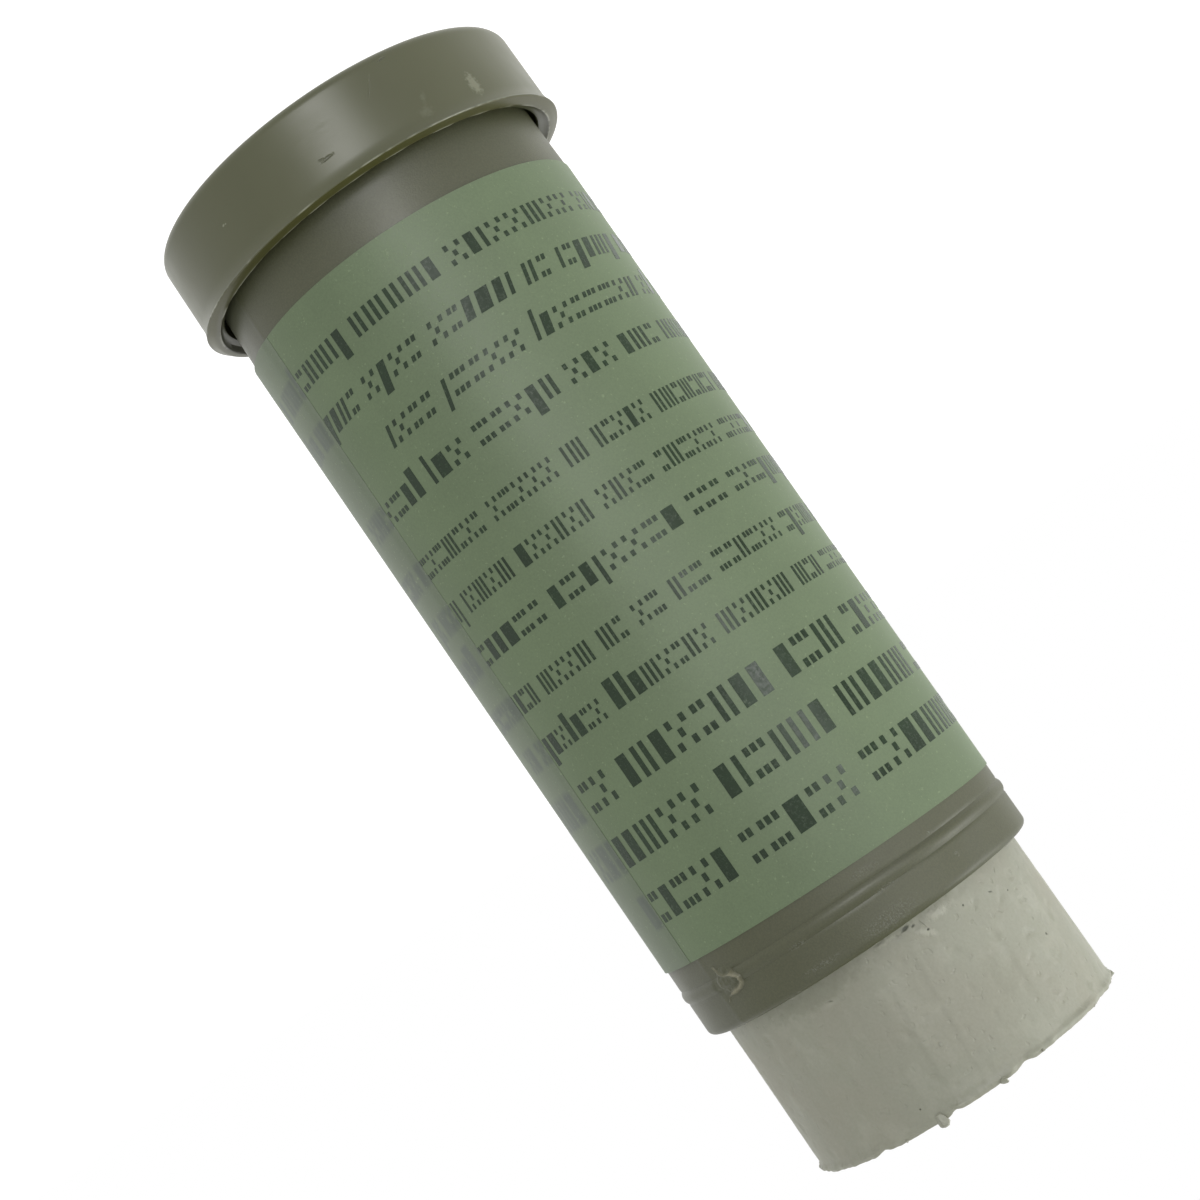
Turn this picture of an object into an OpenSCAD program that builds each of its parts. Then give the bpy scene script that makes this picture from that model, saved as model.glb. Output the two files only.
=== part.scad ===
// Face paint stick: a billet of waxy paint in an open moulded tube with a wrapped label.
// A push-on cap closes the far end. The stick stands on the cap, with the paint end up.
// Origin: centre of the cap's flat outer face. +Z runs along the axis, towards the paint.
// Lengths are in millimetres. Angles round the axis start at +X, and -Y is the front.

/* [Tube] */
// Outside diameter of the barrel, under the label
tube_d = 25.16; // [18:0.02:34]
// Length of the tube from end to end
tube_len = 62.4; // [50:0.1:90]
// Wall thickness of the tube
tube_wall = 1.13; // [0.8:0.01:2]
// Rounding of the outer corner at each end of the tube
tube_round = 0.45; // [0.1:0.05:0.6]
// How far the neck beside the cap is sunk below the barrel
neck_drop = 0.1; // [0.05:0.01:0.3]
// Length of the sloping shoulder between that neck and the barrel
shoulder_len = 0.15; // [0.05:0.05:1]

/* [Cap beads] */
// Height of the bead near each end, above the barrel
bead_h = 0.17; // [0.05:0.01:0.4]
// Width of a bead along the tube
bead_w = 0.95; // [0.6:0.05:2]
// Length of the slope on each side of a bead
bead_slope = 0.2; // [0.05:0.05:0.3]
// Distance from the tube's end to the bead
bead_from_end = 2.55; // [1.5:0.05:4]

/* [Moulding burr] */
// Angle of the torn burr's curled flap, on the bead at the mouth
burr_angle = -49; // [-180:1:180]
// Length of the burr round the bead
burr_len = 2.2; // [1:0.1:4]
// How far the burr stands above the bead
burr_h = 0.3; // [0.1:0.05:0.6]
// Width of the burr along the tube
burr_w = 1.2; // [0.6:0.1:1.6]

/* [Label] */
// Thickness of the label
label_t = 0.12; // [0.06:0.01:0.2]
// Distance from the tube's end inside the cap to the label
label_from_cap_end = 8.67; // [7:0.01:15]
// Distance from the mouth of the tube to the label
label_from_mouth = 4.9; // [4.5:0.1:12]
// Slope of the label's edge beside the cap, in degrees
label_tilt_cap = 1.4; // [0:0.1:2]
// Slope of the label's edge beside the mouth, in degrees
label_tilt_mouth = 1.2; // [0:0.1:2]
// Angle of the label's outer end, where it laps over its start
seam_angle = -35; // [-180:1:180]
// Slant of that end against the axis, in degrees
seam_slant = 0.5; // [-3:0.1:3]
// Length of the lap round the tube
lap_len = 7; // [3:0.5:12]
// Length round the tube over which the lap comes down to the barrel
lap_ramp = 2.5; // [1:0.5:5]

/* [Cap] */
// Height of the cap
cap_h = 6.2; // [5:0.01:8]
// Thickness of the cap's end wall
cap_floor = 1.2; // [0.8:0.1:2.5]
// Thickness of the cap's skirt
cap_wall = 1.19; // [0.8:0.01:2]
// Gap between the beads and the inside of the cap
cap_gap = 0.13; // [0.05:0.01:0.3]
// How much the skirt narrows towards the end wall, on the radius
cap_draft = 0.07; // [0:0.01:0.2]
// Rounding of the cap's outer edge
cap_round = 0.7; // [0.2:0.05:1]
// How far the lip stands out from the skirt
lip_out = 0.27; // [0.1:0.01:0.5]
// Height of the lip
lip_h = 0.75; // [0.5:0.05:1.2]
// Rounding of the lip
lip_round = 0.25; // [0.1:0.01:0.3]

/* [Paint] */
// Gap between the paint and the tube's bore
paint_gap = 0.07; // [0.02:0.01:0.1]
// How far the paint stands out of the mouth
paint_out = 11.3; // [3:0.1:40]
// Depth of the empty bore behind the paint
paint_behind = 12.4; // [11:0.1:30]
// How far the worn end has spread past the paint's side
flare_out = 0.25; // [0.1:0.01:0.5]
// Length of the spread end
flare_len = 1; // [0.5:0.1:2]
// Size of the largest crumb on the edge of the worn end
crumb = 0.8; // [0.3:0.1:1.2]
// Size of the smallest crumb there
crumb_small = 0.4; // [0.2:0.1:0.8]
// Depth of a nick in that edge
nick = 0.35; // [0.1:0.05:0.6]
// Angles of the crumbs on the edge
crumb_angles = [-75, -98, -176, 12, 96, 141];
// Angles of the nicks in the edge
nick_angles = [-107, -52, 58, 165];

/* [Hidden] */
$fn = 128;
// Steps in a rounded corner
ARC_STEPS = 6;
// Degrees between the points of the label's lap
LAP_STEP = 3;
// Length of a cut that runs past both faces
THROUGH = 1;

tube_r = tube_d / 2;
bore_r = tube_r - tube_wall;
neck_r = tube_r - neck_drop;
bead_r = tube_r + bead_h;
tube_z0 = cap_floor;
tube_z1 = tube_z0 + tube_len;
bead_near_z = tube_z0 + bead_from_end;
bead_far_z = tube_z1 - bead_from_end - bead_w;

label_r = tube_r + label_t;
lap_r = label_r + label_t;
label_z0 = tube_z0 + label_from_cap_end;
label_z1 = tube_z1 - label_from_mouth;
// The barrel starts before the lowest point of the label's sloping edge.
barrel_z = label_z0 - lap_r * tan(label_tilt_cap);
lap_deg = arc_degrees(lap_len, label_r);
lap_ramp_deg = arc_degrees(lap_ramp, label_r);

cap_bore_r = bead_r + cap_gap;
cap_r = cap_bore_r + cap_wall;
cap_end_r = cap_r - cap_draft;
lip_r = cap_r + lip_out;

paint_r = bore_r - paint_gap;
flare_r = paint_r + flare_out;
paint_z0 = tube_z0 + paint_behind;
paint_z1 = tube_z1 + paint_out;

// Degrees that a length takes round a circle of radius r.
function arc_degrees(length, r) = length / r * 180 / PI;

// Points of an arc round [x, y], from angle a0 to angle a1.
function arc(x, y, r, a0, a1, steps = ARC_STEPS) =
    [for (i = [0:steps]) let (a = a0 + (a1 - a0) * i / steps) [x + r * cos(a), y + r * sin(a)]];

// Outline of a bead from z upwards, on walls of radius r_low below it and r_high above it.
function bead_points(z, r_low, r_high) = [
    [r_low, z],
    [bead_r, z + bead_slope],
    [bead_r, z + bead_w - bead_slope],
    [r_high, z + bead_w],
];

// Radius of the lap at an angle past the seam: level first, then down into the label.
function lap_radius(a) =
    a <= lap_deg ? lap_r : lap_r - 1.5 * label_t * (a - lap_deg) / lap_ramp_deg;

// Push-on cap: a flat end wall and a short skirt with a rounded lip.
module cap() {
    rim_r = cap_bore_r + lip_round;
    color([0.33, 0.34, 0.24])
    rotate_extrude()
        polygon(concat(
            [[0, 0]],
            arc(cap_end_r - cap_round, cap_round, cap_round, -90, 0),
            [[cap_r, cap_h - lip_h]],
            arc(lip_r - lip_round, cap_h - lip_round, lip_round, 0, 90),
            [[rim_r, cap_h], [cap_bore_r, cap_h - lip_round], [cap_bore_r, cap_floor], [0, cap_floor]]
        ));
}

// Torn plastic left on the bead: a curled flap at one end of a lower stub.
module burr() {
    burr_deg = arc_degrees(burr_len, bead_r);
    flap_r = burr_w / 3;
    rotate([0, 0, burr_angle])
        translate([bead_r + burr_h - flap_r, 0, -burr_w / 2])
            cylinder(h = burr_w, r = flap_r);
    rotate([0, 0, burr_angle])
        rotate_extrude(angle = burr_deg)
            translate([bead_r - burr_h, -burr_w / 2])
                square([1.5 * burr_h, burr_w * 2 / 3]);
}

// Open-ended tube with a bead near each end and a burr on the bead at the mouth.
module tube() {
    color([0.37, 0.38, 0.31]) {
        rotate_extrude()
            polygon(concat(
                [[bore_r, tube_z0]],
                arc(neck_r - tube_round, tube_z0 + tube_round, tube_round, -90, 0),
                bead_points(bead_near_z, neck_r, neck_r),
                [[neck_r, barrel_z - shoulder_len], [tube_r, barrel_z]],
                bead_points(bead_far_z, tube_r, tube_r),
                arc(tube_r - tube_round, tube_z1 - tube_round, tube_round, 0, 90),
                [[bore_r, tube_z1]]
            ));
        translate([0, 0, bead_far_z + bead_w / 2])
            burr();
    }
}

// Everything on one side of a plane through [0, 0, z] that falls by tilt degrees towards +X.
module beyond_edge(z, tilt, upwards) {
    size = 4 * lap_r;
    translate([0, 0, z])
        rotate([0, tilt, 0])
            translate([-size / 2, -size / 2, upwards ? 0 : -size])
                cube(size);
}

// The label's outer end, which laps over its start and ends at the slanted seam.
module label_lap() {
    mid_z = (label_z0 + label_z1) / 2;
    height = label_z1 - label_z0 + 2 * THROUGH;
    under_r = tube_r + label_t / 2;
    far_deg = lap_deg + lap_ramp_deg;
    slack_deg = LAP_STEP * 2;
    outer = [for (a = [-slack_deg:LAP_STEP:far_deg]) lap_radius(a) * [cos(a), sin(a)]];
    inner = [for (a = [far_deg:-LAP_STEP:-slack_deg]) under_r * [cos(a), sin(a)]];
    rotate([0, 0, seam_angle])
        difference() {
            translate([0, 0, mid_z - height / 2])
                linear_extrude(height)
                    polygon(concat(outer, inner));
            translate([0, 0, mid_z])
                rotate([-seam_slant, 0, 0])
                    translate([0, -lap_r, -height])
                        cube([2 * lap_r, lap_r, 2 * height]);
        }
}

// Wrapped label: one sheet round the barrel, with sloping edges and a lapped seam.
module label() {
    color([0.44, 0.52, 0.38])
    difference() {
        union() {
            translate([0, 0, label_z0 - THROUGH])
                difference() {
                    cylinder(h = label_z1 - label_z0 + 2 * THROUGH, r = label_r);
                    translate([0, 0, -THROUGH])
                        cylinder(h = label_z1 - label_z0 + 4 * THROUGH, r = tube_r);
                }
            label_lap();
        }
        beyond_edge(label_z0, label_tilt_cap, false);
        beyond_edge(label_z1, label_tilt_mouth, true);
    }
}

// Billet of paint, pushed out of the mouth, with a worn edge that has spread and crumbled.
module paint_stick() {
    crumbs = len(crumb_angles);
    color([0.63, 0.64, 0.56])
    difference() {
        union() {
            rotate_extrude()
                polygon([
                    [0, paint_z0],
                    [paint_r, paint_z0],
                    [paint_r, paint_z1 - flare_len],
                    [flare_r, paint_z1 - flare_len / 3],
                    [flare_r - flare_out / 2, paint_z1],
                    [0, paint_z1],
                ]);
            for (i = [0:crumbs - 1])
                let (size = crumb + (crumb_small - crumb) * i / (crumbs - 1))
                    rotate([0, 0, crumb_angles[i]])
                        translate([flare_r - size / 2, 0, paint_z1 - size / 4])
                            rotate([20, 30, 15])
                                cube(size, center = true);
        }
        for (a = nick_angles)
            rotate([0, 0, a])
                translate([flare_r, 0, paint_z1])
                    rotate([0, 45, 0])
                        cube([2 * nick, 3 * nick, 2 * nick], center = true);
    }
}

cap();
tube();
label();
paint_stick();
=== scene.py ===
"""A face paint stick: waxy paint in an open moulded tube, with a wrapped label and a push-on cap.

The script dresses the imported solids. Lengths are in millimetres in the classes, in the frame of the
solids: the axis is Z, the cap is at the bottom, and angles are in degrees round the axis from +X, so
that -90 is the front. A finished mesh is scaled to metres as the last step.
"""

import logging
import math
import random
from dataclasses import dataclass
from dataclasses import field
from enum import Enum
from typing import Callable
from typing import Iterable
from typing import Optional
from typing import Sequence
from typing import Union

import bmesh
import bpy
from mathutils import Matrix
from mathutils import Vector
from mathutils import noise

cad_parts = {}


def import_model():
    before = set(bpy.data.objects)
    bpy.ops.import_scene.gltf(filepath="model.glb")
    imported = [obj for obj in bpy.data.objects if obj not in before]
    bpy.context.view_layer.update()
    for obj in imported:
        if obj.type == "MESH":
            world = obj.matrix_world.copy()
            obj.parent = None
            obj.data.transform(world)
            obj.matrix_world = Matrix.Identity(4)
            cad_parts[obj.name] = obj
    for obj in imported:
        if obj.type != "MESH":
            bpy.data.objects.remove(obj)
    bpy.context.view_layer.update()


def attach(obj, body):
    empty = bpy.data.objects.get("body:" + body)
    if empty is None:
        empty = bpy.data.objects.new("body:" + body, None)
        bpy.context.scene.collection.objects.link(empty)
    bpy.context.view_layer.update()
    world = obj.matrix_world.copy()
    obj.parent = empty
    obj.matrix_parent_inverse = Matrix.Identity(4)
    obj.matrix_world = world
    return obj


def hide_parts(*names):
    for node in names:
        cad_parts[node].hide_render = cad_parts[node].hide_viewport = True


log = logging.getLogger("face_paint_stick")

MM = 0.001
FULL_TURN = 2 * math.pi
WEDGES = 24

Socket = bpy.types.NodeSocket
Number = Union[float, Socket]
Colour = tuple[float, float, float]


# Small helpers for shapes


def clamp(value: float, low: float = 0.0, high: float = 1.0) -> float:
    """Keep a value between two limits."""
    return max(low, min(high, value))


def smooth(low: float, high: float, value: float) -> float:
    """Rise smoothly from 0 at low to 1 at high."""
    t = clamp((value - low) / (high - low))
    return t * t * (3 - 2 * t)


def hump(distance: float, width: float) -> float:
    """A rounded hump, 1 at no distance, that fades out over its width."""
    return math.exp(-((distance / width) ** 2))


def turn_between(angle: float, other: float) -> float:
    """Shortest turn from one angle to another, in degrees, from -180 to 180."""
    return (angle - other + 180) % 360 - 180


def on_axis(radius: float, angle: float, height: float) -> Vector:
    """Point at a radius and an angle in degrees round the axis, at a height."""
    a = math.radians(angle)
    return Vector((radius * math.cos(a), radius * math.sin(a), height))


def waves(point: Vector, size: float, seed: float) -> float:
    """Smooth noise from about -1 to 1, with swells of about the given size."""
    return noise.noise(point / size + Vector((seed, 2 * seed, 3 * seed)))


def distance_to_path(point: Vector, path: Sequence[tuple[float, float]]) -> float:
    """Shortest distance from a point on the flat to a path of straight stretches.

    Args:
        point: The point; only its first two coordinates count.
        path: Corners of the path.

    Returns:
        The distance, in the same unit.
    """
    best = math.inf
    for (ax, ay), (bx, by) in zip(path, path[1:]):
        dx = bx - ax
        dy = by - ay
        t = clamp(((point.x - ax) * dx + (point.y - ay) * dy) / (dx * dx + dy * dy))
        best = min(best, math.hypot(point.x - ax - t * dx, point.y - ay - t * dy))
    return best


@dataclass(frozen=True)
class Corner:
    """One corner of a half section: its place, its rounding and the step of the mesh after it."""

    radius: float
    height: float
    rounding: float = 0.0
    step: float = 0.5


def turned(corners: Sequence[Corner], steps: int, closed: bool = False) -> bmesh.types.BMesh:
    """Turn a half section round the axis.

    Args:
        corners: The section's corners in order, from the axis back to it, or round a ring.
        steps: How many steps the full turn has.
        closed: Whether the last corner joins the first, for a ring with a bore.

    Returns:
        A closed mesh with its faces outwards, in millimetres.
    """
    bm = bmesh.new()
    step_layer = bm.edges.layers.float.new("step")
    points = [bm.verts.new((c.radius, 0.0, c.height)) for c in corners]
    pairs = list(zip(points, points[1:]))
    if closed:
        pairs.append((points[-1], points[0]))
    for pair, corner in zip(pairs, corners):
        bm.edges.new(pair)[step_layer] = corner.step
    for point, corner in zip(points, corners):
        if corner.rounding:
            bmesh.ops.bevel(
                bm,
                geom=[point],
                offset=corner.rounding,
                offset_type="OFFSET",
                segments=max(3, round(corner.rounding / 0.07)),
                profile=0.5,
                affect="VERTICES",
                material=-1,
                clamp_overlap=True,
            )
    for edge in bm.edges[:]:
        cuts = int(edge.calc_length() / edge[step_layer])
        if cuts:
            bmesh.ops.subdivide_edges(bm, edges=[edge], cuts=cuts)
    wedge = FULL_TURN / WEDGES
    for angle, count, copies in ((wedge, steps // WEDGES, False), (FULL_TURN - wedge, WEDGES - 1, True)):
        bmesh.ops.spin(
            bm,
            geom=bm.verts[:] + bm.edges[:] + bm.faces[:],
            cent=(0, 0, 0),
            axis=(0, 0, 1),
            dvec=(0, 0, 0),
            angle=angle,
            space=Matrix.Identity(4),
            steps=count,
            use_merge=False,
            use_normal_flip=False,
            use_duplicate=copies,
        )
    bmesh.ops.remove_doubles(bm, verts=bm.verts[:], dist=1e-4)
    bmesh.ops.recalc_face_normals(bm, faces=bm.faces[:])
    return bm


def face_out(bm: bmesh.types.BMesh, faces: list[bmesh.types.BMFace]) -> None:
    """Turn an open sheet of faces so that they face away from the axis.

    Args:
        bm: The mesh.
        faces: The sheet's faces, which already face the same way.
    """
    outwards = 0.0
    for face in faces:
        centre = face.calc_center_median()
        outwards += face.normal.dot(Vector((centre.x, centre.y, 0.0)))
    if outwards < 0:
        bmesh.ops.reverse_faces(bm, faces=faces)


def finished(bm: bmesh.types.BMesh, name: str, sharp: float = 40.0) -> bpy.types.Object:
    """Scale a mesh in millimetres to metres and make it a smooth object at the origin.

    Args:
        bm: The mesh. It is freed.
        name: The piece's name.
        sharp: Edges that turn by more than this many degrees stay sharp.

    Returns:
        The new object.
    """
    bmesh.ops.scale(bm, vec=(MM, MM, MM), verts=bm.verts[:])
    mesh = bpy.data.meshes.new(name)
    bm.to_mesh(mesh)
    bm.free()
    mesh.shade_smooth()
    mesh.set_sharp_from_angle(angle=math.radians(sharp))
    piece = bpy.data.objects.new(name, mesh)
    bpy.context.scene.collection.objects.link(piece)
    return piece


def fitted(
    piece: bpy.types.Object,
    body: str,
    material: bpy.types.Material,
    node: Optional[str] = None,
) -> bpy.types.Object:
    """Give a piece its material, its body and the solid that it stands for.

    Args:
        piece: The piece.
        body: The body that it rides on.
        material: Its material.
        node: The solid that it replaces, if it replaces one.

    Returns:
        The same piece.
    """
    piece.data.materials.append(material)
    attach(piece, body)
    if node:
        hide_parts(node)
    return piece


# Finishes


class Recipe:
    """The nodes of one material, from the surface's own coordinates to a Principled shader."""

    def __init__(self, name: str) -> None:
        """Start a material with its shader, its output and its coordinates in millimetres."""
        self.material = bpy.data.materials.new(name)
        self.material.use_nodes = True
        self.tree = self.material.node_tree
        self.tree.nodes.clear()
        output = self.add("ShaderNodeOutputMaterial")
        self.shader = self.add("ShaderNodeBsdfPrincipled")
        self.link(self.shader.outputs["BSDF"], output.inputs["Surface"])
        coordinates = self.add("ShaderNodeTexCoord")
        self.place = self.vector("MULTIPLY", coordinates.outputs["Object"], (1000.0, 1000.0, 1000.0))
        self.normal: Optional[Socket] = None

    def add(self, kind: str, **settings: object) -> bpy.types.Node:
        """Add a node of a kind, with its settings.

        Args:
            kind: The node's type.
            settings: Its properties by name.

        Returns:
            The node.
        """
        node = self.tree.nodes.new(kind)
        for name, value in settings.items():
            setattr(node, name, value)
        return node

    def link(self, source: Socket, target: Socket) -> None:
        """Join an output to an input."""
        self.tree.links.new(source, target)

    def feed(self, target: Socket, value: object) -> None:
        """Give an input a link or a plain value.

        Args:
            target: The input.
            value: An output to link, or a value.
        """
        if isinstance(value, bpy.types.NodeSocket):
            self.link(value, target)
        else:
            target.default_value = value

    def vector(self, operation: str, a: object, b: object = None) -> Socket:
        """Do vector arithmetic.

        Args:
            operation: The operation.
            a: The first vector.
            b: The second vector, where there is one.

        Returns:
            The result, a number for a length or a dot product.
        """
        node = self.add("ShaderNodeVectorMath", operation=operation)
        self.feed(node.inputs[0], a)
        if b is not None:
            self.feed(node.inputs[1], b)
        return node.outputs["Value" if operation in ("LENGTH", "DOT_PRODUCT") else "Vector"]

    def math(self, operation: str, a: Number, b: Number = 0.0) -> Socket:
        """Do arithmetic with two numbers.

        Args:
            operation: The operation.
            a: The first number.
            b: The second number.

        Returns:
            The result.
        """
        node = self.add("ShaderNodeMath", operation=operation)
        self.feed(node.inputs[0], a)
        self.feed(node.inputs[1], b)
        return node.outputs["Value"]

    def total(self, *parts: Number) -> Socket:
        """Add numbers up.

        Args:
            parts: The numbers.

        Returns:
            Their sum.
        """
        result = parts[0]
        for part in parts[1:]:
            result = self.math("ADD", result, part)
        return result

    def times(self, *parts: Number) -> Socket:
        """Multiply numbers.

        Args:
            parts: The numbers.

        Returns:
            Their product.
        """
        result = parts[0]
        for part in parts[1:]:
            result = self.math("MULTIPLY", result, part)
        return result

    def band(self, value: Number, low: float, high: float, start: float = 0.0, end: float = 1.0) -> Socket:
        """Map a value from low..high to start..end with soft ends.

        Args:
            value: The value.
            low: Where the rise starts.
            high: Where it ends.
            start: The result at low.
            end: The result at high.

        Returns:
            The mapped value.
        """
        node = self.add("ShaderNodeMapRange", interpolation_type="SMOOTHSTEP")
        self.feed(node.inputs["Value"], value)
        node.inputs["From Min"].default_value = low
        node.inputs["From Max"].default_value = high
        node.inputs["To Min"].default_value = start
        node.inputs["To Max"].default_value = end
        return node.outputs["Result"]

    def noise(
        self,
        size: float,
        stretch: tuple[float, float, float] = (1.0, 1.0, 1.0),
        detail: float = 2.0,
        roughness: float = 0.5,
        shift: float = 0.0,
    ) -> Socket:
        """Noise whose swells are about `size` millimetres, divided by the stretch in each direction.

        Args:
            size: Size of the swells.
            stretch: How many times finer the noise is along X, Y and Z.
            detail: Layers of finer noise.
            roughness: Strength of those layers.
            shift: Moves the pattern, so that two noises differ.

        Returns:
            The noise, from 0 to 1 and about 0.5 on average.
        """
        mapping = self.add("ShaderNodeMapping")
        self.link(self.place, mapping.inputs["Vector"])
        mapping.inputs["Location"].default_value = (shift, 2 * shift, 3 * shift)
        mapping.inputs["Scale"].default_value = tuple(s / size for s in stretch)
        node = self.add("ShaderNodeTexNoise")
        self.link(mapping.outputs["Vector"], node.inputs["Vector"])
        node.inputs["Scale"].default_value = 1.0
        node.inputs["Detail"].default_value = detail
        node.inputs["Roughness"].default_value = roughness
        return node.outputs["Fac"]

    def height(self) -> Socket:
        """Height up the axis, in millimetres.

        Returns:
            The height.
        """
        node = self.add("ShaderNodeSeparateXYZ")
        self.link(self.place, node.inputs["Vector"])
        return node.outputs["Z"]

    def mark(self, spot: "Spot", ragged: Number = 0.0) -> Socket:
        """A soft-edged mark at one place on the surface: 1 inside and 0 outside.

        Args:
            spot: Where the mark is, and its size.
            ragged: A number that is added to the distance, to break up the mark's edge.

        Returns:
            The mark's mask.
        """
        centre = on_axis(spot.radius, spot.angle, spot.height)
        a = math.radians(spot.angle)
        lean = math.radians(spot.lean)
        across = Vector((-math.sin(a), math.cos(a), 0.0))
        up = Vector((0.0, 0.0, 1.0))
        along_mark = across * math.sin(lean) + up * math.cos(lean)
        over_mark = across * math.cos(lean) - up * math.sin(lean)
        offset = self.vector("SUBTRACT", self.place, tuple(centre))
        u = self.vector("DOT_PRODUCT", offset, tuple(over_mark / spot.half_width))
        v = self.vector("DOT_PRODUCT", offset, tuple(along_mark / spot.half_length))
        deep = self.vector("DOT_PRODUCT", offset, tuple(on_axis(1 / spot.reach, spot.angle, 0.0)))
        joined = self.add("ShaderNodeCombineXYZ")
        self.link(u, joined.inputs["X"])
        self.link(v, joined.inputs["Y"])
        self.link(deep, joined.inputs["Z"])
        away = self.total(self.vector("LENGTH", joined.outputs["Vector"]), ragged)
        return self.band(away, spot.core, 1.0, 1.0, 0.0)

    def marks(self, spots: Iterable["Spot"], ragged: Number = 0.0) -> Socket:
        """The strongest of several marks, each at its own strength.

        Args:
            spots: The marks.
            ragged: A number that breaks up their edges.

        Returns:
            The mask.
        """
        result: Number = 0.0
        for spot in spots:
            result = self.math("MAXIMUM", result, self.times(self.mark(spot, ragged), spot.strength))
        return result

    def blend(self, factor: Number, first: object, second: object) -> Socket:
        """Mix two colours.

        Args:
            factor: How much of the second colour, from 0 to 1.
            first: The first colour.
            second: The second colour.

        Returns:
            The mix.
        """
        node = self.add("ShaderNodeMix", data_type="RGBA", clamp_factor=True)
        self.feed(node.inputs["Factor"], factor)
        for name, colour in (("A", first), ("B", second)):
            socket = [s for s in node.inputs if s.name == name and s.type == "RGBA"][0]
            self.feed(socket, colour if isinstance(colour, bpy.types.NodeSocket) else (*colour, 1.0))
        return [s for s in node.outputs if s.type == "RGBA"][0]

    def tinted(self, colour: Socket, factor: Number) -> Socket:
        """A colour made lighter or darker by a factor that may vary.

        Args:
            colour: The colour.
            factor: What it is multiplied by.

        Returns:
            The new colour.
        """
        node = self.add("ShaderNodeVectorMath", operation="SCALE")
        self.link(colour, node.inputs[0])
        self.feed(node.inputs["Scale"], factor)
        return node.outputs["Vector"]

    def attribute(self, name: str) -> Socket:
        """A number that the mesh carries at each point."""
        return self.add("ShaderNodeAttribute", attribute_name=name).outputs["Fac"]

    def bump(self, height: Number, depth: float, strength: float = 1.0) -> None:
        """Add relief, `depth` millimetres deep where the height goes from 0 to 1.

        Args:
            height: The relief.
            depth: Its depth in millimetres.
            strength: How much of it counts.
        """
        node = self.add("ShaderNodeBump")
        node.inputs["Strength"].default_value = strength
        node.inputs["Distance"].default_value = depth * MM
        self.feed(node.inputs["Height"], height)
        if self.normal is not None:
            self.link(self.normal, node.inputs["Normal"])
        self.normal = node.outputs["Normal"]

    def done(self, colour: Socket, roughness: Number, **plain: float) -> bpy.types.Material:
        """Join colour, roughness and relief to the shader, and set its plain values.

        Args:
            colour: The base colour.
            roughness: The roughness.
            plain: Values for the shader's own inputs, by input name with _ for a space.

        Returns:
            The material.
        """
        self.link(colour, self.shader.inputs["Base Color"])
        self.feed(self.shader.inputs["Roughness"], roughness)
        if self.normal is not None:
            self.link(self.normal, self.shader.inputs["Normal"])
        for name, value in plain.items():
            self.shader.inputs[name.replace("_", " ")].default_value = value
        return self.material


@dataclass(frozen=True)
class Spot:
    """A mark at one place on a round surface, in millimetres and degrees."""

    angle: float
    height: float
    half_width: float
    half_length: float
    radius: float
    strength: float = 1.0
    lean: float = 0.0
    core: float = 0.4
    reach: float = 2.0


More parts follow.
